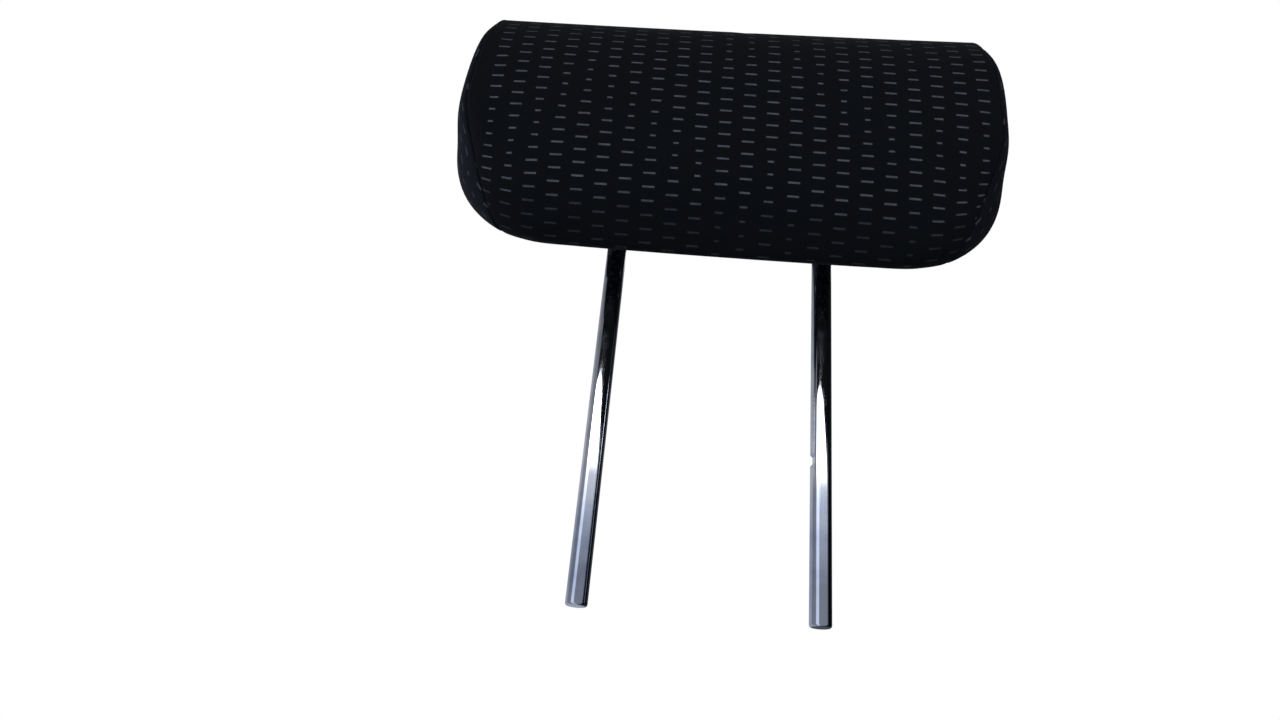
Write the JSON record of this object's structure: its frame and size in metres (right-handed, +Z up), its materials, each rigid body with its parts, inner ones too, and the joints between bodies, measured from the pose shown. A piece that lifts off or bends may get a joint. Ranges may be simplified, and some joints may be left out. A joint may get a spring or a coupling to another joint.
{
  "type": "seat head restraint",
  "caption": "Upholstered seat head restraint: fabric covered foam pad that tilts on a bent chrome bar whose posts slide into a seat back.",
  "frame": {"origin": "midway between the lower ends of the two posts, in the posts' plane", "axes": "+Z up along the posts, -Y the way the pad faces, +X along the crossbar towards the notched post"},
  "size_m": [0.2978, 0.0923, 0.3264],
  "materials": {
    "bar_chrome": "polished chrome plate on steel",
    "cover_fabric": "flat woven black seat cloth with short grey floats",
    "pad_foam": "moulded polyurethane foam, matt",
    "core_plastic": "moulded polypropylene",
    "trim_plastic": "fine grained black polypropylene",
    "bush_nylon": "natural nylon, moulded",
    "spring_steel": "oiled spring steel strip",
    "screw_steel": "bright zinc plate"
  },
  "bodies": {
    "post_frame": {"post_bar": "bar_chrome"},
    "pad": {"front_core_shell": "core_plastic", "rear_core_shell": "core_plastic", "left_pivot_bush": "bush_nylon", "right_pivot_bush": "bush_nylon", "friction_clip": "spring_steel", "core_screw_1": "screw_steel", "core_screw_2": "screw_steel", "core_screw_3": "screw_steel", "core_screw_4": "screw_steel", "clip_screw_1": "screw_steel", "clip_screw_2": "screw_steel", "plate_screw_1": "screw_steel", "plate_screw_2": "screw_steel", "foam_pad": "pad_foam", "main_cover_panel": "cover_fabric", "left_end_panel": "cover_fabric", "right_end_panel": "cover_fabric", "underside_plate": "trim_plastic", "front_closing_strip": "trim_plastic", "rear_closing_strip": "trim_plastic"}
  },
  "joints": [
    {"name": "pad_tilt", "type": "hinge", "parent": "post_frame", "child": "pad", "pos_m": [0, 0, 0.236], "axis": [1, 0, 0], "range_deg": [0, 15]}
  ]
}
